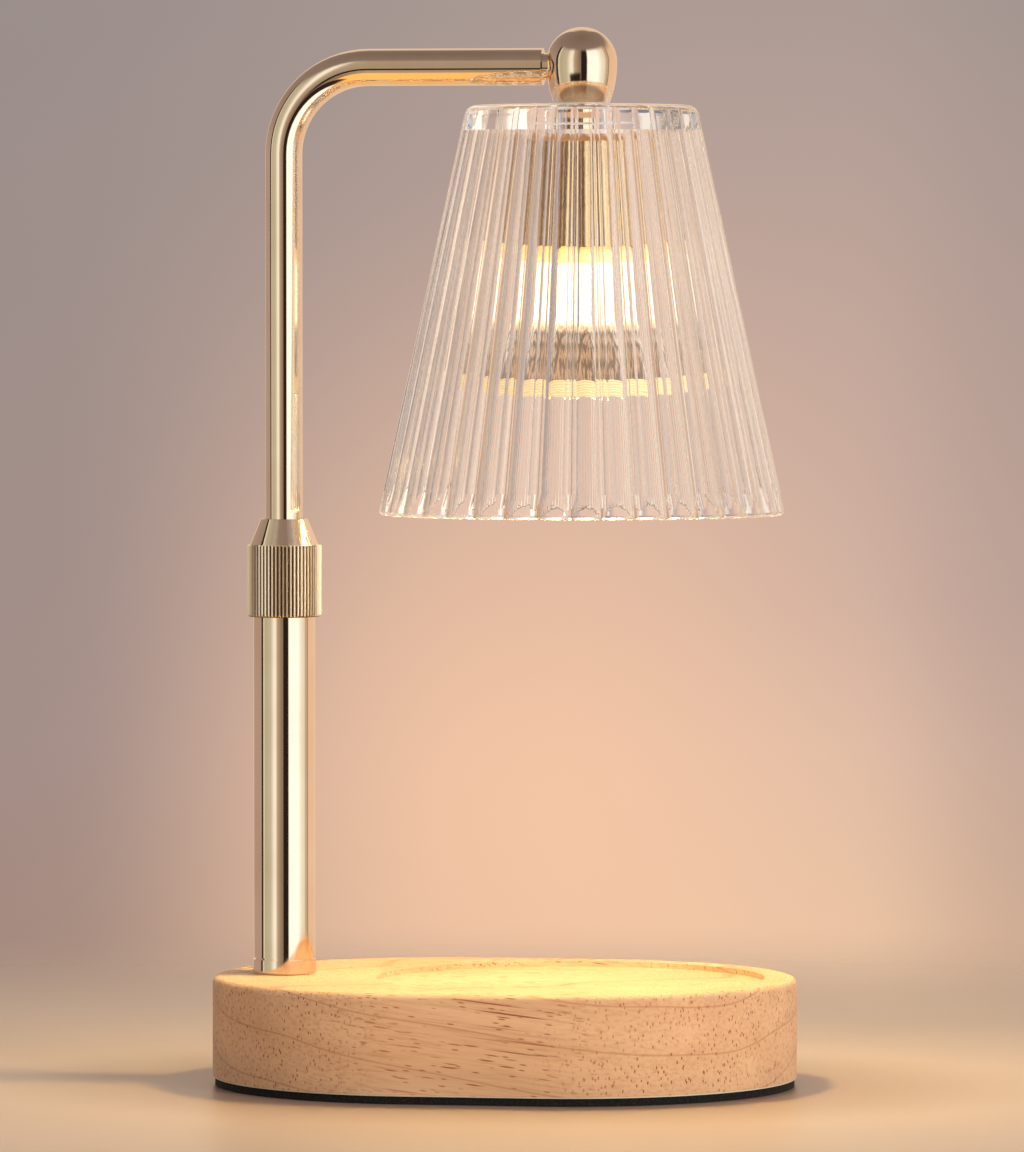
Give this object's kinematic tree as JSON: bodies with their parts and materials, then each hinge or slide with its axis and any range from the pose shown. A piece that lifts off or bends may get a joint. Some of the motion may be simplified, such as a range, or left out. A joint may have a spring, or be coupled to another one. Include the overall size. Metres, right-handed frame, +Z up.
{
  "type": "candle warmer lamp",
  "caption": "Candle warmer table lamp: oval wooden base with a shallow candle recess, sliding and swinging tube arm with a knurled lock collar, and a fluted clear glass shade.",
  "frame": {"origin": "middle of the underside of the base pad, on the surface the lamp stands on", "axes": "+Z up, +X from the pole towards the candle recess, +Y to the back, where the cord inlet is"},
  "size_m": [0.19, 0.147, 0.3421],
  "materials": {
    "board_wood": "oiled rubberwood, open pores",
    "pad_foam": "matt black foam rubber",
    "glue_film": "pale translucent film",
    "plated_gold": "polished champagne gold plate on steel",
    "turned_brass": "turned, champagne gold plated",
    "zinc_steel": "zinc plated",
    "white_nylon": "natural nylon",
    "black_plastic": "moulded, fine grain",
    "clear_silicone": "translucent silicone",
    "shade_glass": "clear pressed glass, fire polished",
    "bulb_glass": "clear faceted reflector glass",
    "quartz": "clear quartz",
    "ceramic": "unglazed white",
    "filament_wire": "drawn wire"
  },
  "bodies": {
    "root": {"wooden_base": "board_wood", "adhesive_film": "glue_film", "base_pad": "pad_foam", "cord_grommet": "black_plastic", "base_washer": "zinc_steel", "base_nut": "zinc_steel", "base_stud": "zinc_steel", "foot_ring": "turned_brass", "lower_tube": "plated_gold", "thread_bush": "turned_brass", "collet": "white_nylon"},
    "collar": {"lock_collar": "turned_brass"},
    "slider": {"guide_bush": "white_nylon"},
    "arm": {"arm_tube": "plated_gold", "stop_ring": "zinc_steel", "end_ring": "zinc_steel", "ball": "turned_brass", "head_nipple": "zinc_steel", "upper_gasket": "clear_silicone", "glass_shade": "shade_glass", "lower_gasket": "clear_silicone", "socket_cup": "plated_gold", "socket_bracket": "zinc_steel", "nipple_washer": "zinc_steel", "nipple_nut": "zinc_steel", "lamp_holder": "ceramic", "bracket_screws": "zinc_steel", "socket_contacts": "turned_brass"},
    "bulb": {"bulb_pins": "zinc_steel", "bulb_cap": "ceramic", "bulb_reflector": "bulb_glass", "bulb_lens": "bulb_glass", "bulb_capsule": "quartz", "bulb_filament": "filament_wire"}
  },
  "joints": [
    {"name": "collar_turn", "type": "hinge", "parent": "root", "child": "collar", "pos_m": [-0.0725, 0, 0.1668], "axis": [0, 0, 1], "range_deg": [0, 360]},
    {"name": "arm_height", "type": "slide", "parent": "root", "child": "slider", "axis": [0, 0, 1], "range_m": [-0.05, 0.02]},
    {"name": "arm_swing", "type": "hinge", "parent": "slider", "child": "arm", "pos_m": [-0.0725, 0, 0.3294], "axis": [0, 0, 1], "range_deg": [-170, 170]},
    {"name": "bulb_twist", "type": "hinge", "parent": "arm", "child": "bulb", "pos_m": [0.02525, 0, 0.2782], "axis": [0, 0, 1], "range_deg": [-18, 0]}
  ]
}
